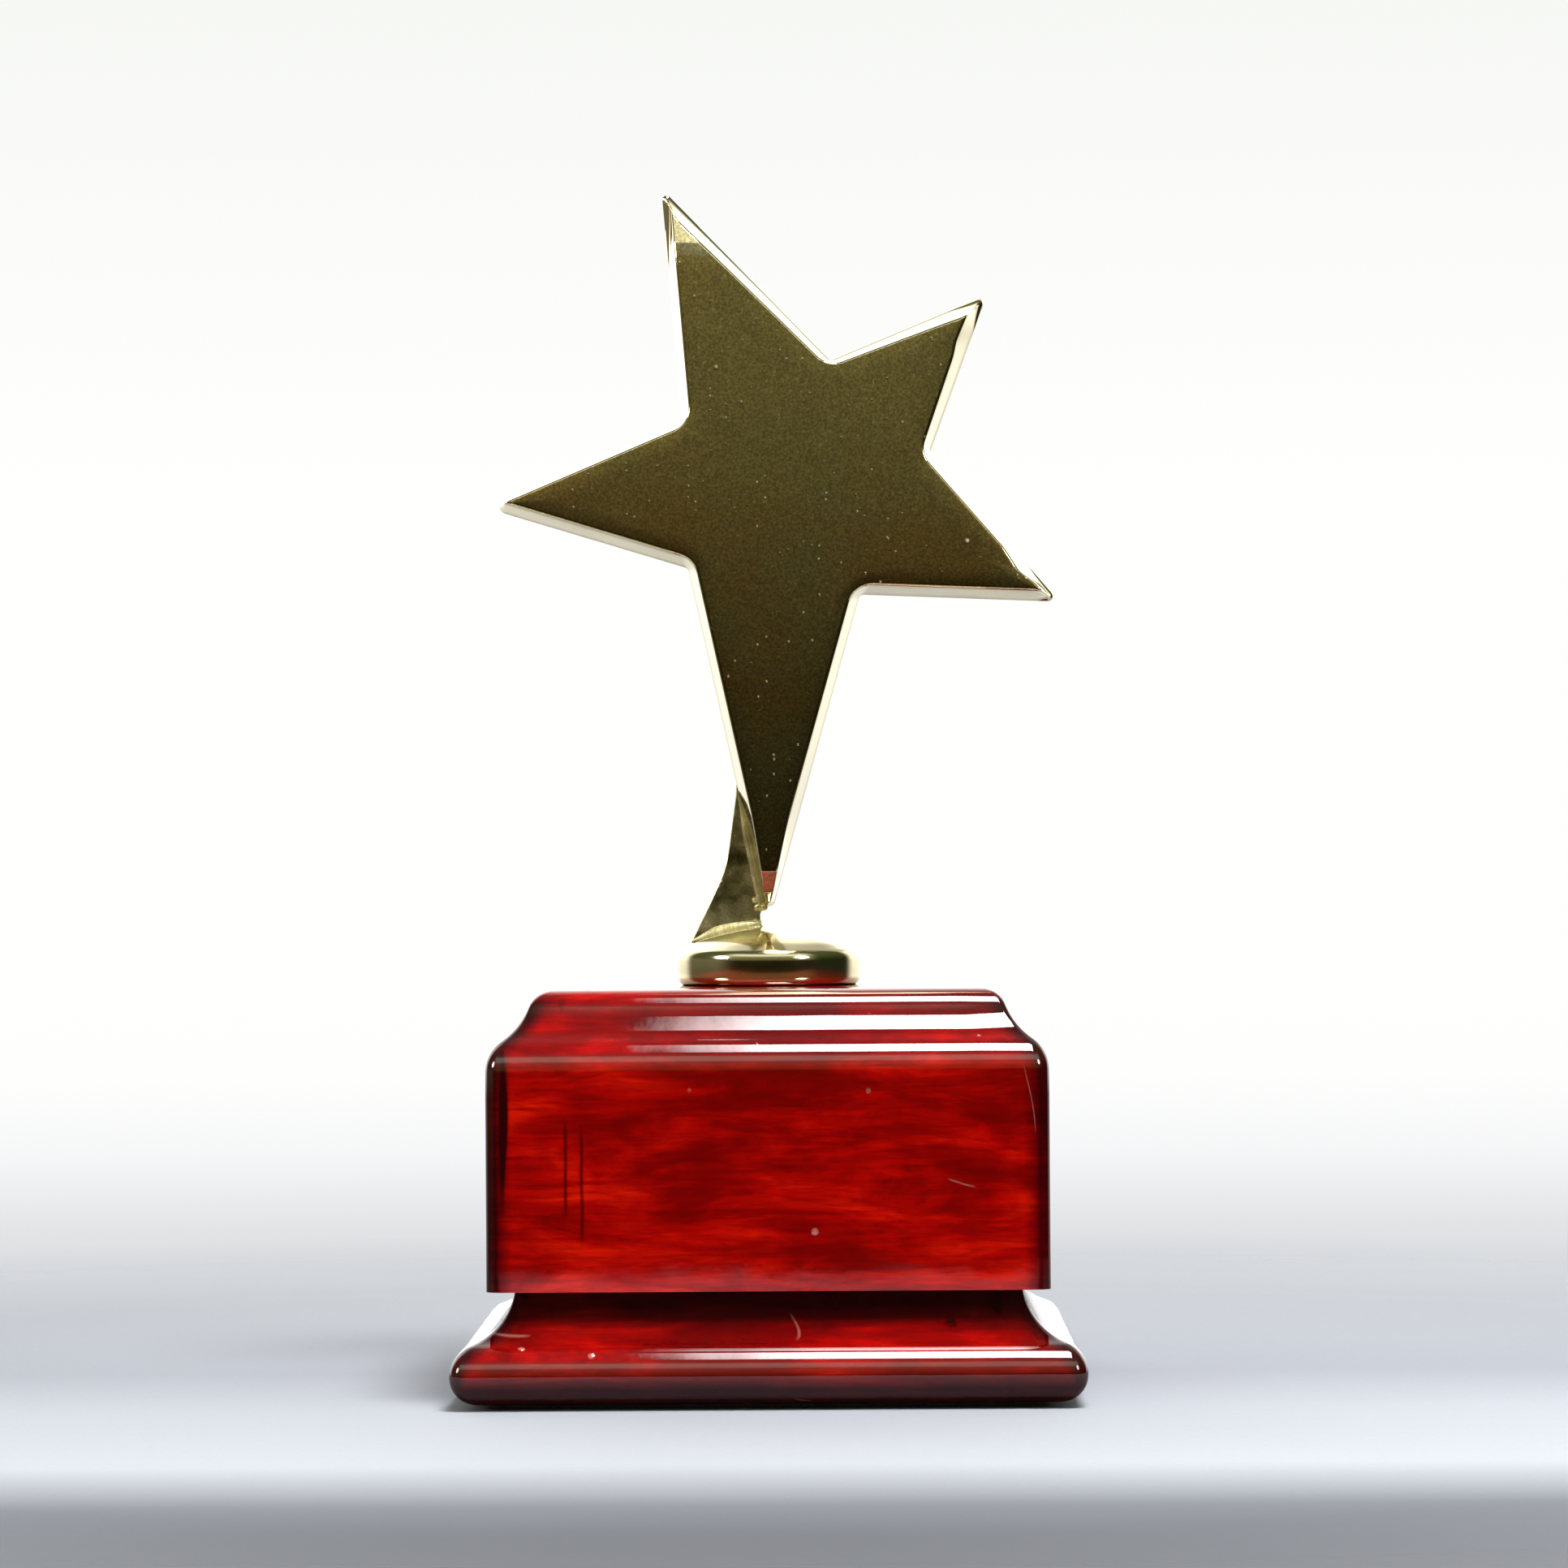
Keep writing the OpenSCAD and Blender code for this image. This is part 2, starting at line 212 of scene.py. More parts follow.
def plinth_profile(t):
    z = PLINTH_LO.z + LIP_LOW_R
    low = arc((LIP_LOW_R, 0), LIP_LOW_R - t, -math.pi / 2, -math.pi, 8)[:-1]
    edge = s_edge(LIP_R, LIP_TURN, COVE_TURN, 0, PLINTH_HI.z - z, t, steps=12)
    return [(inset, z + h) for inset, h in low + edge]


def plinth_skin():
    """The plinth's lacquered veneer: a shell from its underside to its neck."""
    width = PLINTH_HI.x - PLINTH_LO.x
    rings = moulded_rings(plinth_profile(0), width, 0)
    rings += reversed(moulded_rings(plinth_profile(SKIN), width, SKIN))
    verts, faces = loft(rings, closed=True)
    return piece("plinth_lacquered_veneer", verts, faces, ["plinth_veneer"],
                 MATERIALS["lacquer"], sharp=50)


# ---------------------------------------------------------------- the star

# How much further in than the draft the front edge lies, at the start and at the end of each
# side, in millimetres. The lowest tip's two sides lean only near that tip.
SIDE_LEAN = {
    TOP_TIP: (0.75, 0.0), TOP_NOTCH: (0.0, 0.9), UPPER_TIP: (0.5, 0.0),
    RIGHT_NOTCH: (0.0, -0.75), LOW_TIP: (-0.75, 0.0)}
LOW_LEAN_SHARE = 0.25
# Buffed hollows in a side's front edge: where each starts, is deepest and ends along the
# side, and its depth in mm
SIDE_LENS = {UPPER_TIP: (0.02, 0.2, 0.38, 0.3), UPPER_NOTCH: (0.66, 0.87, 0.97, 0.7)}
# Flats buffed on the face at a tip: which way up or down they lean, where each starts from
# the sharp corner in mm, its added slope and how softly it starts in mm
TIP_FLATS = {TOP_TIP: (1, [(13.6, 0.05, 0.4), (11.9, 0.07, 0.3), (9.8, 0.20, 0.3)]),
             LOW_TIP: (-1, [(8.9, 0.35, 0.04), (5.5, 0.5, 0.04)])}
# How far the back rim stands out from the wall: the flare at a side's start and at its end in
# mm, and how much of the side the greater one takes, counted from its tip
EVEN_FLARE = (0.1, 0.1, 1)
TIP_FLARE = {
    LEFT_NOTCH: (0.1, 1.0, 0.38), TOP_TIP: (0.36, 0.2, 0.7), TOP_NOTCH: (0.22, 0.7, 0.2),
    UPPER_TIP: (0.7, 0.14, 0.2), UPPER_NOTCH: (0.12, 0.5, 0.25), RIGHT_TIP: (0.5, 0.1, 0.08)}
ROLL_REACH = 3 * MM
ROLL_SLOPE = 0.02
# How much faster than its inset a notch's radius grows toward the face
NOTCH_GROWTH = 2.3
LEAST_TIP_R = 0.2 * MM
SIDE_STEPS = 40
CORNER_STEPS = 8
# Extra rings on the flat back and face, in mm in from the rounds, for even shading
BACK_RINGS = (3.5, 2, 1, 0.5, 0.2)
FACE_RINGS = (0.2, 0.4, 0.65, 0.95, 1.3, 1.7, 2.2, 2.8, 3.5)
WELD = 0.003 * MM


def corner_point(i):
    x, z, _ = STAR_CORNERS[i % len(STAR_CORNERS)]
    return Vector((x, z)) * MM


def star_bottom():
    """Height of the outline's lowest sharp corner."""
    tip = corner_point(LOW_TIP)
    before = (corner_point(RIGHT_NOTCH) - tip).normalized()
    after = (corner_point(LOW_NOTCH) - tip).normalized()
    half = before.angle(after) / 2
    return STAR_LO.z - STAR_CORNERS[LOW_TIP][2] * MM * (1 / math.sin(half) - 1)


def left_of(v):
    return Vector((-v.y, v.x))


def corner_arc(i, inset):
    """One rounded corner of the outline, moved in by inset."""
    p = corner_point(i)
    came = (p - corner_point(i - 1)).normalized()
    goes = (corner_point(i + 1) - p).normalized()
    tip = i % 2 == 0
    full_r = STAR_CORNERS[i % len(STAR_CORNERS)][2] * MM
    r = max(full_r - inset, LEAST_TIP_R) if tip else full_r + NOTCH_GROWTH * inset
    half_turn = math.acos(came.dot(goes)) / 2
    sharp = p - (left_of(came) + left_of(goes)) * inset / (1 + came.dot(goes))
    side = 1 if tip else -1
    bisector = (left_of(came) + left_of(goes)).normalized() * side
    centre = sharp - bisector * r / math.cos(half_turn)
    middle = math.atan2(bisector.y, bisector.x)
    return [Vector(q) for q in arc(centre, r, middle + side * half_turn,
                                   middle - side * half_turn, CORNER_STEPS)]


def star_stops():
    """Stops round the outline: ("arc", corner, step along it) or ("side", side, share of it)."""
    stops = []
    for i in range(len(STAR_CORNERS)):
        stops += [("arc", i, k) for k in range(CORNER_STEPS + 1)]
        stops += [("side", i, 0.5 - 0.5 * math.cos(math.pi * k / SIDE_STEPS))
                  for k in range(1, SIDE_STEPS)]
    return stops


def round_corner(came, goes, step):
    """A length in mm that goes from one side's to the next's along their corner, in metres."""
    return (came + (goes - came) * step / CORNER_STEPS) * MM


def lean_at(stop):
    """Extra inset of the front edge at a stop."""
    kind, i, where = stop
    start, end = SIDE_LEAN.get(i, (0, 0))
    if kind == "arc":
        came = SIDE_LEAN.get((i - 1) % len(STAR_CORNERS), (0, 0))[1]
        return round_corner(came, start, where)
    if i in (RIGHT_NOTCH, LOW_TIP):
        past_tip = where if i == LOW_TIP else 1 - where
        return (start + end) * smooth_step(1 - past_tip / LOW_LEAN_SHARE) * MM
    return (start + (end - start) * where + lens_at(i, where)) * MM


def lens_at(i, share):
    """Depth in mm of the buffed hollow at a share of side i: it grows evenly and ends softly."""
    start, middle, end, depth = SIDE_LENS.get(i, (0, 1, 2, 0))
    grown = min(max((share - start) / (middle - start), 0), 1)
    return depth * grown * smooth_step((end - share) / (end - middle))


def flare_at(stop):
    """How far the back rim stands out from the wall at a stop."""
    kind, i, where = stop
    start, end, reach = TIP_FLARE.get(i, EVEN_FLARE)
    if kind == "arc":
        came = TIP_FLARE.get((i - 1) % len(STAR_CORNERS), EVEN_FLARE)[1]
        return round_corner(came, start, where)
    if start > end:
        return (end + (start - end) * smooth_step(1 - where / reach)) * MM
    return (start + (end - start) * smooth_step(1 - (1 - where) / reach)) * MM


def star_place(stop, inset, arcs):
    """The outline's point at a stop, moved in by inset. arcs keeps the corners made so far."""
    kind, i, where = stop
    key = round(inset * 1e7)
    following = (i + 1) % len(STAR_CORNERS)
    for corner in (i, following):
        if (corner, key) not in arcs:
            arcs[(corner, key)] = corner_arc(corner, inset)
    if kind == "arc":
        return arcs[(i, key)][where]
    return arcs[(i, key)][-1].lerp(arcs[(following, key)][0], where)


def star_profile(lean, flare):
    """The star's section at one stop, from the back rim to the face, as (inset, depth)."""
    depth = STAR_HI.y - STAR_LO.y
    inset = STAR_DRAFT + lean
    span = max(BACK_ROUND, 1.1 * flare)
    low = BACK_ROUND + span
    slant = math.atan2(inset - flare, depth - low)
    points = [(BACK_ROUND + s * MM, 0) for s in BACK_RINGS]
    points += arc((BACK_ROUND, BACK_ROUND), BACK_ROUND, -math.pi / 2, -math.pi, 4)
    points += [(flare * k / 3, BACK_ROUND + span * k / 3) for k in (1, 2)]
    tangent = STAR_ROUND * math.tan((math.pi / 2 - slant) / 2)
    high = depth - tangent * math.cos(slant)
    wall = [(flare + (inset - flare) * (y - low) / (depth - low), y)
            for y in (low + (high - low) * k / 5 for k in range(6))]
    centre = (inset + tangent, depth - STAR_ROUND)
    edge = arc(centre, STAR_ROUND, math.pi - slant, math.pi / 2, 6, skip_first=True)
    face = [(inset + tangent + s * MM, depth) for s in FACE_RINGS]
    return points + wall + edge + face


def roll_off(inset, front):
    """How far the buffed front lies behind its plane near its edge."""
    over = max(ROLL_REACH - max(inset - front, 0), 0)
    return ROLL_SLOPE / (2 * ROLL_REACH) * over * over


def flat_fall(z):
    """How far the flats at the tips lie behind the front's plane, by height on the outline."""
    fall = 0
    for tip, (side, flats) in TIP_FLATS.items():
        below = (corner_point(tip).y - z) * side
        for start, slope, crease in flats:
            past = max(start * MM - below, 0)
            fall += slope * past * past / (past + crease * MM)
    return fall


def cut_level(verts, faces, heights):
    """The mesh with an edge loop added at each height, and slivers closed."""
    mesh = bpy.data.meshes.new("cut")
    mesh.from_pydata(verts, [], faces)
    work = bmesh.new()
    work.from_mesh(mesh)
    bpy.data.meshes.remove(mesh)
    for z in heights:
        whole = list(work.verts) + list(work.edges) + list(work.faces)
        bmesh.ops.bisect_plane(work, geom=whole, plane_co=(0, 0, z), plane_no=(0, 0, 1))
    bmesh.ops.remove_doubles(work, verts=work.verts, dist=WELD)
    work.verts.index_update()
    cut = ([v.co.copy() for v in work.verts], [[v.index for v in f.verts] for f in work.faces])
    work.free()
    return cut


def star_mesh():
    """The polished cast star: leaning sides, a narrow round along the front, buffed face.
    Its columns go anticlockwise, so that its faces look outward."""
    base = star_bottom()
    thick = STAR_HI.y - STAR_LO.y
    arcs = {}
    columns = []
    for stop in reversed(star_stops()):
        lean = lean_at(stop)
        column = []
        for inset, depth in star_profile(lean, flare_at(stop)):
            place = star_place(stop, inset, arcs)
            fall = roll_off(inset, STAR_DRAFT + lean) * min(depth / thick, 1)
            column.append((place.x, STAR_HI.y - depth + fall, place.y + base))
        columns.append(column)
    rings = [[column[k] for column in columns] for k in range(len(columns[0]))]
    verts, faces = loft(rings)
    count = len(columns)
    heart = [(STAR_HEART[0], y, STAR_HEART[1] + base) for y in (STAR_HI.y, STAR_LO.y)]
    back, front = len(verts), len(verts) + 1
    verts += heart
    last = (len(rings) - 1) * count
    for i in range(count):
        j = (i + 1) % count
        faces.append((j, i, back))
        faces.append((last + i, last + j, front))
    creases = []
    for tip, (side, flats) in TIP_FLATS.items():
        for start, _, crease in flats:
            z = base + corner_point(tip).y - start * MM * side
            creases += [z + side * crease * MM * step for step in (0, 1, 3)]
    verts, faces = cut_level(verts, faces, creases)
    for v in verts:
        v.y += flat_fall(v.z - base) * (STAR_HI.y - v.y) / thick
    return piece("star_polished", verts, faces, ["star_plate"],
                 MATERIALS["gold"], sharp=60)


# ---------------------------------------------------------------- the disc


def dome_z(radius):
    """Height of the disc's domed top at a distance from its axis."""
    return DISC_HI.z - DOME_R + math.sqrt(DOME_R ** 2 - radius ** 2)


def disc_profile():
    """Half the disc's section, from its bore out, up and in, as (radius, height)."""
    r = (DISC_HI.x - DISC_LO.x) / 2
    e = DISC_EDGE_R
    bore = [(DISC_BORE_R, STUD_HI.z + BORE_SPARE), (DISC_BORE_R, TOP_Z)]
    side = []
    for k in range(11):
        share = k / 10
        z = TOP_Z + DISC_LOW_H + (DISC_SIDE_H - DISC_LOW_H - DISC_TOP_H) * share
        side.append((r - DISC_BARREL * (1 - share) ** 2.2, z))
    low = [(x, TOP_Z + DISC_LOW_H * (1 + z / e))
           for x, z in arc((side[0][0] - e, 0), e, -math.pi / 2, 0, 12)[:-1]]
    shoulder = [(x, TOP_Z + DISC_SIDE_H - DISC_TOP_H * (1 - z / e))
                for x, z in arc((r - e, 0), e, 0, math.radians(74), 12, skip_first=True)]
    rim, rim_z = shoulder[-1]
    rise = rim_z - dome_z(rim)
    dome = [(x, dome_z(x) + rise * smooth_step((x / rim - 0.86) / 0.14))
            for x in (rim * (1 - k / 24) for k in range(1, 24))]
    return bore + low + side + shoulder + dome


def disc_mesh():
    """The turned disc: soft edges, slightly barrelled side, domed top, bore underneath."""
    profile = disc_profile()
    steps = 160
    turns = [2 * math.pi * i / steps for i in range(steps)]
    rings = [[(radius * math.cos(turn), radius * math.sin(turn), z) for turn in turns]
             for radius, z in profile]
    verts, faces = loft(rings)
    for ring, z, order in ((0, profile[0][1], -1), (len(rings) - 1, DISC_HI.z, 1)):
        hub = len(verts)
        verts.append((0, 0, z))
        for i in range(steps):
            a, b = ring * steps + i, ring * steps + (i + 1) % steps
            faces.append((a, b, hub)[::order])
    return piece("pedestal_disc_turned", verts, faces, ["pedestal_disc"],
                 MATERIALS["gold_turned"], sharp=50)


# ---------------------------------------------------------------- the stem

# The round of the blade's edges, in millimetres
BLADE_EDGE_R = 0.16
# How far the star's solder joint leans from upright, to the left
BEAD_LEAN = math.radians(12.3)
# Drops of solder between the blade's foot and the star's lowest tip: x, y, height above the
# dome's crown and radius, in millimetres
SOLDER_LUMPS = [
    (-1.9, -0.6, -0.2, 0.85), (-1.0, -1.0, -0.9, 0.9), (-0.3, -1.4, -1.3, 0.8),
    (-2.2, 0.3, 0.5, 0.8), (-1.6, 0.2, 3.2, 0.85), (-0.8, -0.4, 3.3, 0.7), (-2.2, 0.2, 4.3, 0.6)]
BEAD_STEPS = 40
# The share of a bead's length at which it starts to thin out
BEAD_TAPER = 0.6


def blade_left():
    """The blade's left edge as (x, height above the block) in mm, from the foot up."""
    low, bend, high = Vector((-12.7, 7)), Vector((-6.9, 19.2)), Vector((-5.3, 31))
    bend_r = 22
    came = (bend - low).normalized()
    goes = (high - bend).normalized()
    half_turn = came.angle(goes) / 2
    start = bend - came * bend_r * math.tan(half_turn)
    centre = start + left_of(came) * bend_r
    first = math.atan2(start.y - centre.y, start.x - centre.x)
    bow = arc(centre, bend_r, first, first + 2 * half_turn, 14)
    return [tuple(low)] + bow + [tuple(high)]


def blade_outline():
    """The blade's outline in mm, clockwise from its foot, with a round crown behind the star."""
    crown_x, crown_z, crown_r = -1.5, 59.7, 2.3
    outline = blade_left() + [(crown_x - 2.3, crown_z + 0.3)]
    outline += arc((crown_x, crown_z), crown_r, math.radians(150), math.radians(30), 6)
    outline += [(3.2, 31), (0.2, 16), (-1.4, 11.5), (-1.4, 5), (-12.4, 5)]
    return [Vector(p) for p in outline]


def inward(points, i, inset):
    """Point i of a clockwise outline moved in by inset."""
    came = (points[i] - points[i - 1]).normalized()
    goes = (points[(i + 1) % len(points)] - points[i]).normalized()
    return points[i] - (left_of(came) + left_of(goes)) * inset / (1 + came.dot(goes))


def blade_mesh():
    """The cut blade with softly rounded edges."""
    outline = blade_outline()
    r = BLADE_EDGE_R
    depth = (BLADE_HI.y - BLADE_LO.y) / MM
    profile = [(r - r * math.cos(a), r - r * math.sin(a))
               for a in (math.radians(t) for t in (90, 70, 50, 30, 10, 0))]
    profile += [(0, depth / 2)] + [(inset, depth - y) for inset, y in reversed(profile)]
    rings = []
    for inset, y in profile:
        ring = [inward(outline, i, inset) for i in range(len(outline))]
        rings.append([(p.x * MM, BLADE_LO.y + y * MM, TOP_Z + p.y * MM) for p in ring])
    verts, faces = loft(rings)
    count = len(outline)
    faces.append(tuple(range(count)))
    last = (len(rings) - 1) * count
    faces.append(tuple(last + i for i in reversed(range(count))))
    return piece("stem_blade_polished", verts, faces, ["stem_blade"],
                 MATERIALS["gold_hazy"], sharp=40)


def tube(path, start, end, left, sides=24):
    """Rings of a lightly ridged tube round a path of points. Its radius in mm goes evenly from
    start to end, and over the last stretch it falls to the share left of that."""
    rings = []
    for k, centre in enumerate(path):
        before = path[max(k - 1, 0)]
        after = path[min(k + 1, len(path) - 1)]
        along = (after - before).normalized()
        out = along.cross(Vector((0, 1, 0))).normalized()
        up = along.cross(out)
        share = k / (len(path) - 1)
        taper = 1 - smooth_step((share - BEAD_TAPER) / (1 - BEAD_TAPER)) * (1 - left)
        size = (start + (end - start) * share) * taper * MM
        ring = []
        for i in range(sides):
            a = 2 * math.pi * i / sides
            spoke = out * math.cos(a) + up * math.sin(a)
            ridge = noise.noise(spoke * 1.6 + centre * 90) * 0.12 + 1
            ring.append(centre + spoke * size * ridge)
        rings.append(ring)
    return rings


def add_tube(verts, faces, rings):
    """Adds a tube with closed ends to a mesh in the making."""
    start = len(verts)
    new, quads = loft(rings)
    verts += new
    faces += [tuple(start + v for v in quad) for quad in quads]
    sides = len(rings[0])
    last = start + (len(rings) - 1) * sides
    faces.append(tuple(start + i for i in reversed(range(sides))))
    faces.append(tuple(last + i for i in range(sides)))


def star_bead():
    """The solder in the corner between the star's lower left side and the blade."""
    base = star_bottom()
    low = corner_point(LOW_TIP)
    run = (corner_point(LOW_NOTCH) - low).normalized()
    start, length, offset = 3.2 * MM, 19.5 * MM, 0.15 * MM
    path = []
    for k in range(BEAD_STEPS + 1):
        p = low + run * (start + length * k / BEAD_STEPS) + left_of(run) * offset
        path.append(Vector((p.x, offset, p.y + base)))
    verts, faces = [], []
    add_tube(verts, faces, tube(path, 0.95, 0.6, 0.25))
    return piece("star_solder_joint", verts, faces, ["star_solder_bead"],
                 MATERIALS["solder"], sharp=80)


def foot_bead():
    """The solder along the blade's foot, front and back, with drops at its inner end."""
    start, length, raised = -1.2 * MM, -11.3 * MM, 0.35 * MM
    verts, faces = [], []
    for y in (BLADE_LO.y, BLADE_HI.y):
        path = []
        for k in range(BEAD_STEPS + 1):
            x = start + length * k / BEAD_STEPS
            path.append(Vector((x, y, dome_z(math.hypot(x, y)) + raised)))
        add_tube(verts, faces, tube(path, 0.6375, 1.105, 0.2))
    for x, y, z, r in SOLDER_LUMPS:
        lump(verts, faces, Vector((x * MM, y * MM, DISC_HI.z + z * MM)), r * MM)
    return piece("foot_solder_joint", verts, faces, ["foot_solder_bead"],
                 MATERIALS["solder"], sharp=80)


def lump(verts, faces, centre, radius, rows=10, sides=16):
    """A lumpy ball."""
    rings = []
    for k in range(1, rows):
        a = math.pi * k / rows
        ring = []
        for i in range(sides):
            b = 2 * math.pi * i / sides
            spoke = Vector((math.sin(a) * math.cos(b), math.sin(a) * math.sin(b), math.cos(a)))
            wobble = 1 + 0.3 * noise.noise((centre + spoke * radius) * 1100)
            ring.append(centre + spoke * radius * wobble)
        rings.append(ring)
    add_tube(verts, faces, rings[::-1])


# ---------------------------------------------------------------- materials

# The long marks on the block's front: x and lowest and highest point, in millimetres
UPRIGHT_MARKS = [(-32.0, 29, 46), (-29.4, 25, 45)]


class Nodes:
    """A node tree built by short calls."""

    def __init__(self, tree):
        self.tree = tree

    def add(self, kind, inputs=None, **settings):
        """A node with its settings, and its inputs linked or set."""
        node = self.tree.nodes.new(kind)
        for key, value in settings.items():
            setattr(node, key, value)
        for key, value in (inputs or {}).items():
            self.put(node.inputs[key], value)
        return node

    def put(self, socket, value):
        if isinstance(value, bpy.types.NodeSocket):
            self.tree.links.new(value, socket)
        else:
            socket.default_value = value

    def split(self, vector):
        """A vector's X, Y and Z."""
        return self.add("ShaderNodeSeparateXYZ", {0: vector}).outputs

    def remap(self, value, low, high, to_low=0.0, to_high=1.0, **settings):
        return self.add("ShaderNodeMapRange", {
            "Value": value, "From Min": low, "From Max": high,
            "To Min": to_low, "To Max": to_high}, **settings).outputs["Result"]

    def math(self, kind, a, b=0.0):
        node = self.add("ShaderNodeMath", operation=kind)
        self.put(node.inputs[0], a)
        self.put(node.inputs[1], b)
        return node.outputs["Value"]

    def plus(self, a, b):
        return self.math("ADD", a, b)

    def minus(self, a, b):
        return self.math("SUBTRACT", a, b)

    def times(self, a, b):
        return self.math("MULTIPLY", a, b)

    def most(self, a, b):
        return self.math("MAXIMUM", a, b)

    def size(self, a):
        return self.math("ABSOLUTE", a)

    def ramp(self, value, *stops):
        """A colour ramp of (position, (r, g, b)) stops."""
        node = self.add("ShaderNodeValToRGB", {"Fac": value})
        elements = node.color_ramp.elements
        while len(elements) < len(stops):
            elements.new(0.5)
        for element, (position, colour) in zip(elements, stops):
            element.position = position
            element.color = (*colour, 1)
        return node.outputs["Color"]

    def mix(self, share, a, b, kind="MIX"):
        node = self.add("ShaderNodeMix", data_type="RGBA", blend_type=kind)
        for socket, value in ((node.inputs[0], share), (node.inputs[6], a),
                              (node.inputs[7], b)):
            self.put(socket, (*value, 1) if isinstance(value, tuple) else value)
        return node.outputs[2]


class Shader(Nodes):
    """A material, its shader and the patterns that every material here is made of."""

    def __init__(self, name):
        self.material = bpy.data.materials.new(name)
        self.material.use_nodes = True
        super().__init__(self.material.node_tree)
        self.shader = self.tree.nodes["Principled BSDF"]
        self.place = self.add("ShaderNodeTexCoord").outputs["Object"]

    def set(self, **inputs):
        """Sets or links the shader's own sockets, named with _ for a space."""
        for key, value in inputs.items():
            self.put(self.shader.inputs[key.replace("_", " ")], value)

    def mapped(self, scale=(1, 1, 1), turn=(0, 0, 0), move=(0, 0, 0), vector=None):
        return self.add("ShaderNodeMapping", {
            "Vector": vector or self.place, "Scale": scale, "Rotation": turn,
            "Location": move}).outputs["Vector"]

    def noise(self, scale, detail=3.0, rough=0.5, vector=None, warp=0.0):
        return self.add("ShaderNodeTexNoise", {
            "Vector": vector or self.place, "Scale": scale, "Detail": detail,
            "Roughness": rough, "Distortion": warp}).outputs["Fac"]

    def bump(self, height, distance, normal=None):
        inputs = {"Height": height, "Distance": distance}
        if normal:
            inputs["Normal"] = normal
        return self.add("ShaderNodeBump", inputs).outputs["Normal"]

    def specks(self, scale, share, size):
        """Scattered dots: 1 in the middle of a share of the cells, 0 between them."""
        cells = self.add("ShaderNodeTexVoronoi", {"Vector": self.place, "Scale": scale})
        dot = self.remap(cells.outputs["Distance"], size, size * 0.3)
        picked = self.add("ShaderNodeSeparateColor", {"Color": cells.outputs["Color"]})
        chosen = self.math("GREATER_THAN", picked.outputs["Red"], 1 - share)
        return self.times(dot, chosen)


class Veneer(Shader):
    """The base's lacquered veneer, with its patterns and painted shade by their place on the
    block and plinth.
    """

    def scuffs(self, scale, share):
        """Short marks stretched along one direction, in a few places."""
        grain = self.noise(1.0, detail=1, vector=self.mapped(scale))
        marks = self.remap(grain, share, share + 0.05)
        return self.times(marks, self.remap(self.noise(38, detail=1), 0.52, 0.6))

    def hairlines(self):
        """Fine curved scratches in a few places."""
        wave = self.size(self.minus(self.noise(34, detail=0), 0.5))
        line = self.remap(wave, 0.0, 0.004, 0.6, 0.0)
        return self.times(line, self.remap(self.noise(85, detail=2), 0.6, 0.66))

    def upright_marks(self):
        """The long dark marks down the block's front, slightly bent."""
        x, y, z = self.split(self.place)
        bend = self.remap(self.noise(60, detail=2), 0.3, 0.7, -0.3 * MM, 0.3 * MM)
        x = self.plus(x, bend)
        marks = 0.0
        for place, low, high in UPRIGHT_MARKS:
            off = self.size(self.minus(x, place * MM))
            line = self.remap(off, 0.15 * MM, 0.4 * MM, 0.7, 0.0)
            ends = self.times(self.remap(z, low * MM, (low + 3) * MM),
                              self.remap(z, high * MM, (high - 3) * MM))
            marks = self.most(marks, self.times(line, ends))
        return self.times(marks, self.math("LESS_THAN", y, 0.0))

    def corner_share(self):
        """1 on the base's upright corners, 0 away from them and on the level top. Shade is
        painted there and the coat is dulled.
        """
        x, y, z = self.split(self.place)
        x, y = self.size(x), self.size(y)
        diagonal = self.math("DIVIDE", self.math("MINIMUM", x, y), self.most(x, y))
        below = self.remap(z, TOP_Z - 0.3 * MM, TOP_Z - 2.5 * MM)
        return self.times(self.remap(diagonal, 0.905, 0.965), below)

    def dark_bands(self):
        """1 in the neck above the plinth's cove and 1 round the plinth's lowest part: bands where
        shade is painted and the coat is dulled.
        """
        z = self.split(self.place)["Z"]
        neck = self.times(self.remap(z, PLINTH_HI.z - 9 * MM, PLINTH_HI.z - 2.5 * MM),
                          self.math("LESS_THAN", z, PLINTH_HI.z))
        low = self.remap(z, PLINTH_LO.z + 7 * MM, PLINTH_LO.z + 2.6 * MM)
        return self.most(neck, low)

    def painted_shade(self):
        """Painted shade, nearly black: on the upright corners, the neck and the lowest round."""
        return self.times(self.most(self.corner_share(), self.dark_bands()), 0.9)

    def dull_share(self):
        """Where the lacquer is least glossy: the block's upright corners under its moulding,
        the neck and the lowest round."""
        z = self.split(self.place)["Z"]
        moulding_z = BLOCK_HI.z - OGEE_H
        upright = self.times(self.remap(z, moulding_z, moulding_z - 4 * MM),
                             self.math("GREATER_THAN", z, PLINTH_HI.z))
        return self.most(self.times(self.corner_share(), upright), self.dark_bands())

    def tone(self):
        """How light the stain is: level bands and cloudy patches. Painted shade by height is
        added:
        a little darker toward the moulding, and darker still above it and on the plinth."""
        bands = self.noise(1.0, detail=5, rough=0.66, vector=self.mapped((48, 48, 210)), warp=0.5)
        moved = self.mapped(move=(0.31, 0.12, 0.2))
        patches = self.plus(self.times(self.noise(30, 4, 0.6, moved), 0.6),
                            self.times(self.noise(13, 1, vector=moved), 0.4))
        tone = self.plus(self.times(bands, 0.42), self.times(patches, 0.58))
        z = self.split(self.place)["Z"]
        # Painted shade by height: a little lighter low on the block, darker toward the moulding.
        tone = self.plus(tone, self.remap(z, 20 * MM, 60 * MM, 0.018, -0.012))
        # Painted shade: the whole plinth is darker.
        on_plinth = self.math("LESS_THAN", z, PLINTH_HI.z)
        tone = self.minus(tone, self.times(on_plinth, 0.055))
        # Painted shade: darker still on the moulding.
        return self.minus(tone, self.remap(z, 54 * MM, 60 * MM, 0.0, 0.04))


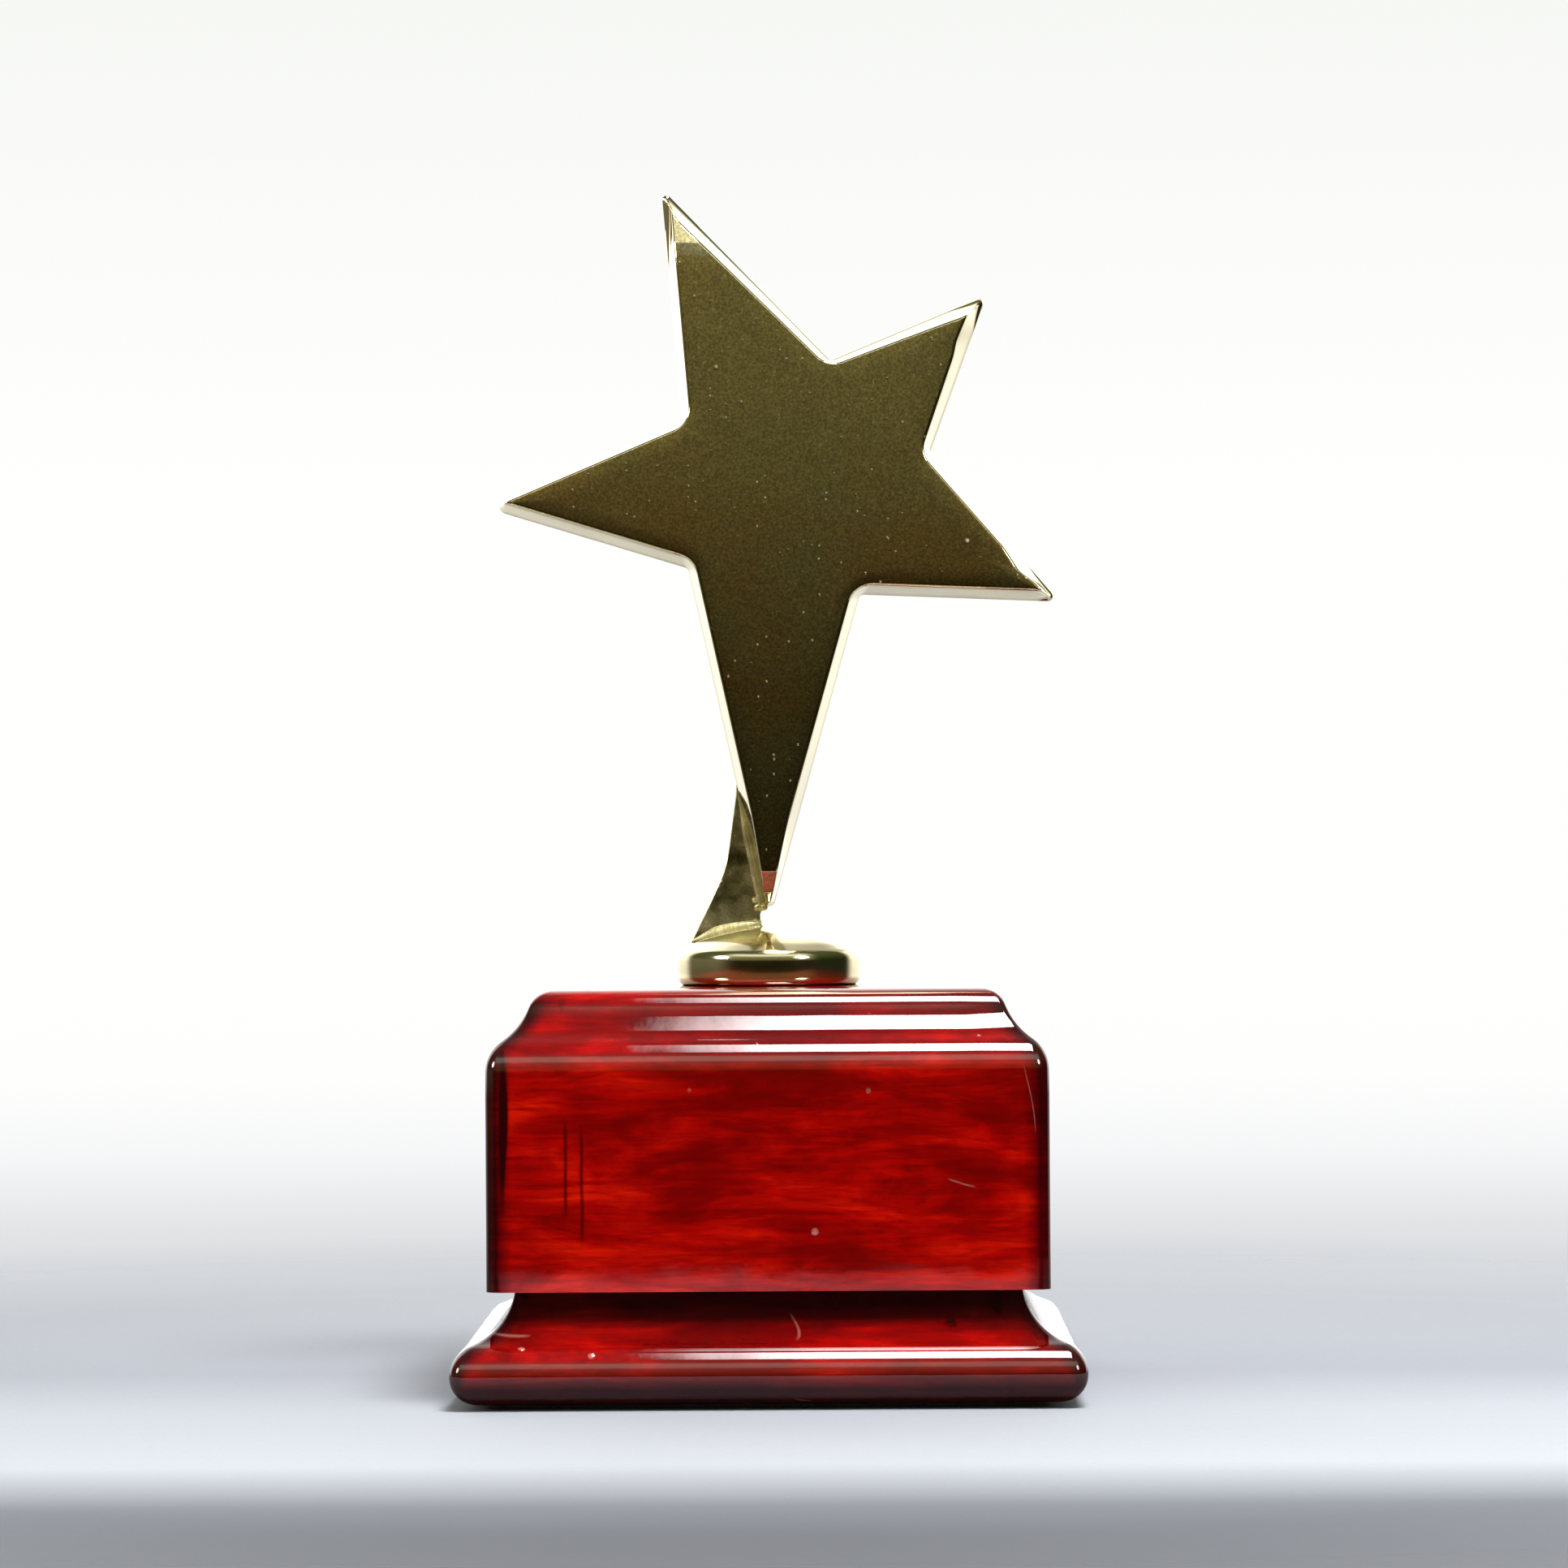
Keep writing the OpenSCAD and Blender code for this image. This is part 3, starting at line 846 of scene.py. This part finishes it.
def gold_metal(name, haze, wave, sand, patchy=0.25, tint=GOLD_TINT, stained=0.75, mottling=90):
    """Polished, lightly tarnished gold plating, with grit, stains and dust where it faces
    forward or back. haze is its roughness, and patchy is how much that and the tint vary."""
    s = Shader(name)
    facing = s.split(s.add("ShaderNodeNewGeometry").outputs["Normal"])["Y"]
    flat = s.remap(s.size(facing), 0.8, 0.97)
    mottle = s.noise(mottling, detail=4)
    clean = s.mix(s.remap(mottle, 0.35, 0.7), tint, tuple(c * (1 - patchy / 2) for c in tint))
    stain = s.times(s.remap(s.noise(42, detail=4), 0.46, 0.66, 0, stained),
                    s.remap(s.split(s.place)["Z"], 165 * MM, 125 * MM, 0.25, 1.0))
    clean = s.mix(s.times(stain, flat), clean, COPPER_STAIN)
    fine = s.remap(s.noise(2300, detail=2), 0.34, 0.66, 0.72, 1.30)
    grit = s.remap(s.noise(1500, detail=2), 0.64, 0.72, 0, 0.9)
    level = s.plus(s.times(s.minus(s.plus(fine, grit), 1.0), s.times(flat, sand)), 1.0)
    tone = s.add("ShaderNodeCombineColor", {0: level, 1: level, 2: level}).outputs[0]
    clean = s.mix(1.0, clean, tone, kind="MULTIPLY")
    dust = s.most(s.times(s.specks(800, 0.2, 0.19), 0.6), s.specks(150, 0.3, 0.075))
    dust = s.times(dust, flat)
    rough = s.plus(s.remap(mottle, 0.32, 0.68, haze * (1 - patchy), haze * (1 + patchy)),
                   s.times(dust, 0.4))
    waves = s.bump(s.noise(120, detail=1), 0.005 * MM * wave)
    s.set(Base_Color=s.mix(dust, clean, PALE_DUST), Metallic=1.0, Roughness=rough,
          Normal=s.bump(dust, 0.05 * MM, normal=waves))
    return s.material


def solder_metal():
    """Bright, brushed solder in the gold's colour, with streaks along the star's joint. The
    streaks are partly brushing and partly painted highlights along the fillet.
    """
    s = Shader("solder")
    brushed = s.mapped((2600, 2600, 90), vector=s.mapped(turn=(0, BEAD_LEAN, 0)))
    streaks = s.noise(1.0, detail=3, vector=brushed)
    lumps = s.noise(420, detail=3)
    both = s.plus(s.times(streaks, 0.6), s.times(lumps, 0.4))
    # Painted highlight in part: the pale end of this ramp gives bright streaks along the joint,
    # over the brushed texture.
    s.set(Base_Color=s.ramp(both, (0.36, (0.48, 0.42, 0.17)), (0.5, (0.84, 0.77, 0.39)),
                            (0.62, (0.97, 0.93, 0.64))),
          Metallic=0.45, Roughness=s.remap(lumps, 0.3, 0.7, 0.18, 0.34),
          Normal=s.bump(both, 0.06 * MM))
    return s.material


def lacquered_veneer():
    """Stained red veneer with level grain under thick, glossy clear lacquer."""
    s = Veneer("lacquered_veneer")
    # The stain's tone, with painted shade by height on the block, the moulding and the plinth.
    base = s.ramp(s.remap(s.tone(), 0.39, 0.61),
                  (0.0, (0.10, 0.0001, 0.0002)), (0.4, (0.20, 0.0003, 0.0003)),
                  (0.7, (0.38, 0.0012, 0.0005)), (1.0, (0.62, 0.0085, 0.0012)))
    streaks = s.noise(1.0, detail=4, rough=0.65, vector=s.mapped((80, 80, 1300)))
    base = s.mix(s.remap(streaks, 0.36, 0.6, 0.45, 0.0), base, (0.09, 0.0001, 0.0002))
    for marks in (s.scuffs((260, 260, 16), 0.70), s.upright_marks()):
        base = s.mix(marks, base, (0.03, 0.0001, 0.0003))
    # Painted shade: the upright corners, the neck and the plinth's lowest round are darkened
    # nearly to black.
    base = s.mix(s.painted_shade(), base, (0.012, 0.0001, 0.0012))
    dust = s.most(s.specks(110, 0.5, 0.07), s.hairlines())
    peel = s.plus(s.noise(70, detail=1), s.times(s.noise(260), 0.12))
    s.set(Base_Color=s.mix(s.times(dust, 0.55), base, (0.55, 0.22, 0.16)),
          Roughness=s.remap(streaks, 0.3, 0.7, 0.4, 0.6), Specular_IOR_Level=0.0,
          Normal=s.bump(streaks, 0.02 * MM),
          Coat_Weight=s.remap(s.dull_share(), 0, 1, 1.0, 0.3), Coat_IOR=1.75,
          Coat_Roughness=0.03,
          Coat_Normal=s.bump(dust, 0.1 * MM, normal=s.bump(peel, 0.05 * MM)))
    return s.material


def fibreboard():
    """Pressed brown fibreboard."""
    s = Shader("fibreboard")
    fibres = s.noise(2600, detail=4, rough=0.7)
    clumps = s.noise(500, detail=3)
    colour = s.ramp(s.plus(s.times(fibres, 0.6), s.times(clumps, 0.4)),
                    (0.3, (0.16, 0.095, 0.045)), (0.55, (0.36, 0.24, 0.13)),
                    (0.75, (0.52, 0.38, 0.22)))
    s.set(Base_Color=colour, Roughness=s.remap(fibres, 0.3, 0.7, 0.75, 0.95),
          Normal=s.bump(fibres, 0.15 * MM))
    return s.material


def beech():
    """Turned beech with its grain along the dowel."""
    s = Shader("dowel_wood")
    grain = s.noise(1.0, detail=4, vector=s.mapped((1800, 1800, 90)))
    s.set(Base_Color=s.ramp(grain, (0.3, (0.45, 0.29, 0.15)), (0.6, (0.68, 0.5, 0.3))),
          Roughness=s.remap(grain, 0.3, 0.7, 0.5, 0.7), Normal=s.bump(grain, 0.1 * MM))
    return s.material


def zinc_steel():
    """Zinc-plated steel with a faint blue-yellow passivation."""
    s = Shader("zinc_steel")
    cloud = s.noise(260, detail=3)
    turned = s.noise(1.0, detail=3, vector=s.mapped((300, 300, 4500)))
    s.set(Base_Color=s.ramp(cloud, (0.35, (0.55, 0.57, 0.6)), (0.6, (0.66, 0.65, 0.6))),
          Metallic=1.0, Roughness=s.remap(turned, 0.3, 0.7, 0.25, 0.42),
          Normal=s.bump(turned, 0.03 * MM))
    return s.material


def felt():
    """Black felt."""
    s = Shader("felt")
    fibres = s.noise(3200, detail=4, rough=0.8)
    s.set(Base_Color=s.ramp(fibres, (0.3, (0.008, 0.008, 0.009)), (0.7, (0.05, 0.05, 0.055))),
          Roughness=s.remap(fibres, 0.3, 0.7, 0.85, 1.0), Sheen_Weight=0.4,
          Normal=s.bump(fibres, 0.3 * MM))
    return s.material


def dress_cad_nodes():
    """Materials for the CAD nodes that stay visible."""
    looks = {
        "fibreboard": ["block_top_board", "block_middle_board", "block_bottom_board",
                       "plinth_board"],
        "beech": ["wood_dowels"],
        "steel": ["locating_pin", "mounting_stud", "plinth_screws", "flat_washer",
                  "spring_washer", "hex_nut"],
        "felt": ["felt_pad"]}
    for look, nodes in looks.items():
        for name in nodes:
            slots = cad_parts[name].data.materials
            slots.clear()
            slots.append(MATERIALS[look])


# ---------------------------------------------------------------- the studio

# The point on the trophy's axis that the lamps are aimed at
LAMP_TARGET = Vector((0, 0, 60 * MM))


def grey(level):
    return (level, level, level)


def warm(level):
    """A grey with a yellow cast."""
    return (level, level * 0.91, level * 0.40)


def card(name, corners, material):
    """A flat sheet of the studio."""
    mesh = bpy.data.meshes.new(name)
    mesh.from_pydata(corners, [], [(0, 1, 2, 3)])
    mesh.materials.append(material)
    obj = bpy.data.objects.new(name, mesh)
    bpy.context.scene.collection.objects.link(obj)
    return obj


def floor():
    """A plain floor, shaded by its depth as the photograph's cloth is, that fades out in front
    and all round."""
    half = 1.6
    s = Shader("floor")
    depth = s.split(s.place)["Y"]
    colour = s.mix(s.remap(s.noise(9, detail=3), 0.3, 0.7),
                   (0.295, 0.31, 0.345), (0.305, 0.32, 0.355))
    cloth = s.remap(s.noise(700, detail=3), 0.3, 0.7, 0, 0.25)
    colour = s.mix(cloth, colour, (0.25, 0.265, 0.31))
    shade = s.ramp(s.remap(depth, -0.3, 0.4),
                   (0.0, grey(1.2)), (0.03, (0.09, 0.09, 0.10)), (0.16, (0.47, 0.47, 0.48)),
                   (0.24, (1.3, 1.3, 1.28)), (0.36, grey(1.2)),
                   (0.46, (0.95, 0.95, 0.97)), (0.8, (1.25, 1.23, 1.21)))
    away = s.add("ShaderNodeVectorMath", {0: s.place}, operation="LENGTH").outputs["Value"]
    around = s.remap(away, 0.22, 0.40, 1.0, 0.0)
    ahead = s.remap(depth, -0.36, -0.27)
    s.set(Base_Color=s.mix(1.0, colour, shade, kind="MULTIPLY"), Roughness=0.9,
          Specular_IOR_Level=0.1, Alpha=s.math("MINIMUM", around, ahead))
    card("floor", [(-half, -half, 0), (half, -half, 0), (half, half, 0), (-half, half, 0)],
         s.material)


def surroundings():
    """A white backdrop for the camera. Light and reflections get a room instead: white behind
    the trophy and dim at its sides and in front of it, except for a window high in front and
    the part far below the horizon."""
    world = bpy.data.worlds.new("studio")
    bpy.context.scene.world = world
    world.use_nodes = True
    s = Nodes(world.node_tree)
    x, y, z = s.split(s.add("ShaderNodeTexCoord").outputs["Generated"])
    height = s.plus(s.math("DIVIDE", s.math("ARCSINE", z), math.pi), 0.5)
    backward = s.math("DIVIDE", y, s.math("SQRT", s.plus(s.times(x, x), s.times(y, y))))

    def eased(value, low, high):
        return s.remap(value, low, high, interpolation_type="SMOOTHSTEP")

    def by_height(*stops):
        """A ramp of (degrees above the horizon, colour) stops."""
        return s.ramp(height, *[((degrees + 90) / 180, colour) for degrees, colour in stops])

    front = by_height(
        (-90, warm(0.8)), (-25, warm(0.8)), (-15, warm(0.014)), (-2, warm(0.012)),
        (0.7, warm(0.022)), (2, warm(0.05)), (3.2, warm(0.085)), (5, warm(0.165)),
        (6, warm(0.19)), (13, warm(0.21)), (20, (0.30, 0.31, 0.24)), (26, (0.32, 0.33, 0.26)),
        (30, (1.0, 1.05, 0.85)), (34, (1.2, 1.25, 1.0)), (43, (1.2, 1.25, 1.0)),
        (48, (0.3, 0.3, 0.26)), (60, grey(0.12)), (90, grey(0.1)))
    back = by_height(
        (-90, grey(0.5)), (-8, grey(1.0)), (-3, grey(1.3)), (0, grey(1.7)),
        (2, (2.2, 2.2, 2.15)), (30, (2.4, 2.4, 2.3)), (44, (2.0, 2.0, 1.95)),
        (50, (1.15, 1.15, 1.1)), (58, (0.8, 0.8, 0.75)), (64, (0.3, 0.3, 0.28)),
        (90, grey(0.1)))
    back_right = by_height(
        (-90, grey(0.5)), (-8, grey(1.0)), (0, grey(1.7)), (2, (2.2, 2.2, 2.15)),
        (28, (2.2, 2.2, 2.15)), (33, (1.0, 1.0, 0.95)), (40, (0.62, 0.62, 0.58)),
        (58, (0.5, 0.5, 0.46)), (90, grey(0.1)))
    right = by_height(
        (-90, (0.02, 0.02, 0.01)), (2, (0.02, 0.024, 0.012)), (30, (0.08, 0.11, 0.04)),
        (60, (0.12, 0.14, 0.08)))
    left = by_height(
        (-90, (0.03, 0.03, 0.02)), (-6, (0.1, 0.1, 0.07)), (-1, (0.2, 0.19, 0.13)),
        (4, (0.2, 0.19, 0.13)), (12, (0.09, 0.11, 0.05)), (60, (0.12, 0.14, 0.08)))
    seen = by_height(
        (-90, (0.62, 0.64, 0.68)), (-5, (0.68, 0.70, 0.74)), (-3.8, (0.71, 0.72, 0.75)),
        (-3.4, (0.78, 0.79, 0.80)), (-2.7, (0.95, 0.95, 0.96)), (-2, (1.0, 1.0, 0.99)),
        (3.5, (1.0, 1.0, 0.99)), (8, (0.93, 0.94, 0.91)))

    sides = s.mix(eased(x, 0.2, -0.5), right, left)
    fore = s.mix(eased(backward, -0.75, -0.35), front, sides)
    aft = s.mix(eased(x, 0.05, 0.25), back, back_right)
    room = s.mix(eased(backward, 0.38, 0.66), fore, aft)
    to_camera = s.add("ShaderNodeLightPath").outputs["Is Camera Ray"]
    s.put(s.tree.nodes["Background"].inputs["Color"], s.mix(to_camera, room, seen))


def softbox():
    """The long softbox overhead, a little to the right, with a fading left end."""
    x0, x1, y0, y1, z = -0.055, 0.33, -0.65, -0.1, 1.05
    fade, strength = 0.06, 17
    s = Shader("softbox")
    s.tree.nodes.remove(s.shader)
    glow = s.add("ShaderNodeEmission", {
        "Strength": s.remap(s.split(s.place)["X"], x0, x0 + fade, 0.0, strength)})
    s.put(s.tree.nodes["Material Output"].inputs["Surface"], glow.outputs[0])
    obj = card("softbox", [(x0, y0, z), (x0, y1, z), (x1, y1, z), (x1, y0, z)], s.material)
    obj.visible_camera = False


def lamp(name, azimuth, elevation, distance, size, radiance, mirrored=True):
    """A round lamp aimed at the trophy, which is either only mirrored in it or only lights it.
    Azimuth 0 is the camera's side, 90 the right."""
    data = bpy.data.lights.new(name, "AREA")
    data.shape = "DISK"
    data.size = size
    data.energy = radiance * math.pi * math.pi * size * size / 4
    obj = bpy.data.objects.new(name, data)
    a, e = math.radians(azimuth), math.radians(elevation)
    toward = Vector((math.sin(a) * math.cos(e), -math.cos(a) * math.cos(e), math.sin(e)))
    obj.location = toward * distance + LAMP_TARGET
    obj.rotation_euler = toward.to_track_quat("Z", "Y").to_euler()
    bpy.context.scene.collection.objects.link(obj)
    obj.visible_camera = False
    obj.visible_diffuse = not mirrored
    obj.visible_glossy = mirrored


def camera():
    """The photograph's view: a long lens at the height of the star's lower arm."""
    data = bpy.data.cameras.new("camera")
    data.lens = 139.75
    data.sensor_width = 36
    data.clip_start = 0.05
    data.clip_end = 20
    obj = bpy.data.objects.new("camera", data)
    obj.location = (0.0105, -1.0, 0.0872)
    obj.rotation_mode = "XYZ"
    obj.rotation_euler = (math.radians(90.64), math.radians(0.38), math.radians(0.455))
    bpy.context.scene.collection.objects.link(obj)
    bpy.context.scene.camera = obj


MATERIALS = {
    "gold": gold_metal("gold_metal", haze=0.09, wave=1.0, sand=1.0),
    "gold_turned": gold_metal("gold_turned", haze=0.12, wave=0.3, sand=0.0),
    "gold_hazy": gold_metal("gold_hazy", haze=0.24, wave=1.5, sand=0.6, patchy=0.9,
                            tint=HAZY_TINT, stained=0.2, mottling=190),
    "solder": solder_metal(),
    "lacquer": lacquered_veneer(),
    "fibreboard": fibreboard(),
    "beech": beech(),
    "steel": zinc_steel(),
    "felt": felt()}

block_skin()
plinth_skin()
star_mesh()
disc_mesh()
blade_mesh()
star_bead()
foot_bead()
dress_cad_nodes()
floor()
surroundings()
softbox()
lamp("lamp_left", azimuth=-63, elevation=20, distance=1.2, size=0.36, radiance=13)
lamp("lamp_right", azimuth=43, elevation=20, distance=1.2, size=0.33, radiance=13)
lamp("lamp_above", azimuth=24, elevation=65, distance=1.1, size=0.5, radiance=38, mirrored=False)
camera()
bpy.context.scene.view_settings.view_transform = "Standard"
